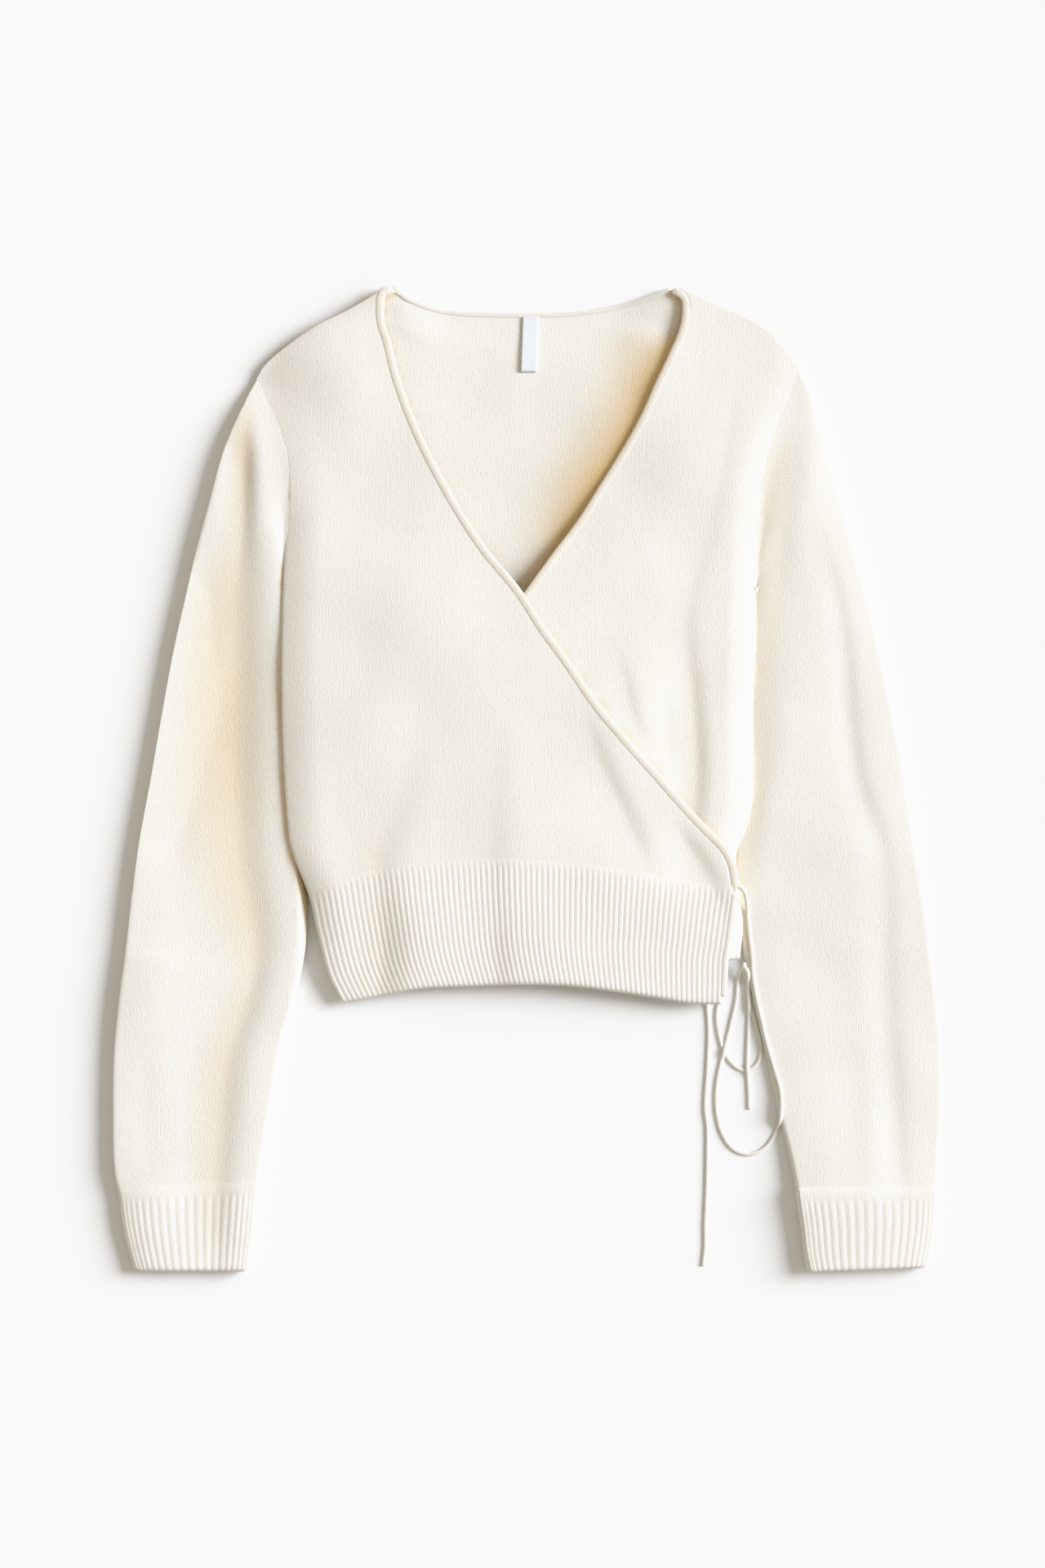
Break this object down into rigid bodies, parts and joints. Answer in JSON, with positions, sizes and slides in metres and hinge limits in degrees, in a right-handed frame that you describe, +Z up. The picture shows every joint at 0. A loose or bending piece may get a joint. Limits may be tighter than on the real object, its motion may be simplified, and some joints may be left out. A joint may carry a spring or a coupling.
{
  "type": "wrap cardigan laid flat",
  "caption": "Ribbed-hem wrap cardigan in brushed knit, laid flat on its back with the arms down and the side ties loose.",
  "frame": {"origin": "on the surface the garment lies on, under the middle of its box without the ties", "axes": "+Z up out of the surface, +Y towards the neck, +X towards the wearer's left"},
  "size_m": [0.5708, 0.678, 0.0195],
  "materials": {
    "jersey": "brushed cream jersey knit with a soft nap",
    "rib": "cream one by one rib knit",
    "label": "white woven satin, bare",
    "tie": "cream knitted cord"
  },
  "bodies": {
    "root": {"back_panel": "jersey", "right_front": "jersey", "left_front": "jersey", "right_sleeve": "jersey", "left_sleeve": "jersey", "right_cuff": "rib", "left_cuff": "rib", "hem_rib_back": "rib", "hem_rib_right": "rib", "hem_rib_left": "rib", "band_right": "rib", "band_left": "rib", "band_neck": "rib", "rib_edge": "rib", "neck_label": "label", "tie_front": "tie", "tie_side": "tie"}
  },
  "joints": []
}
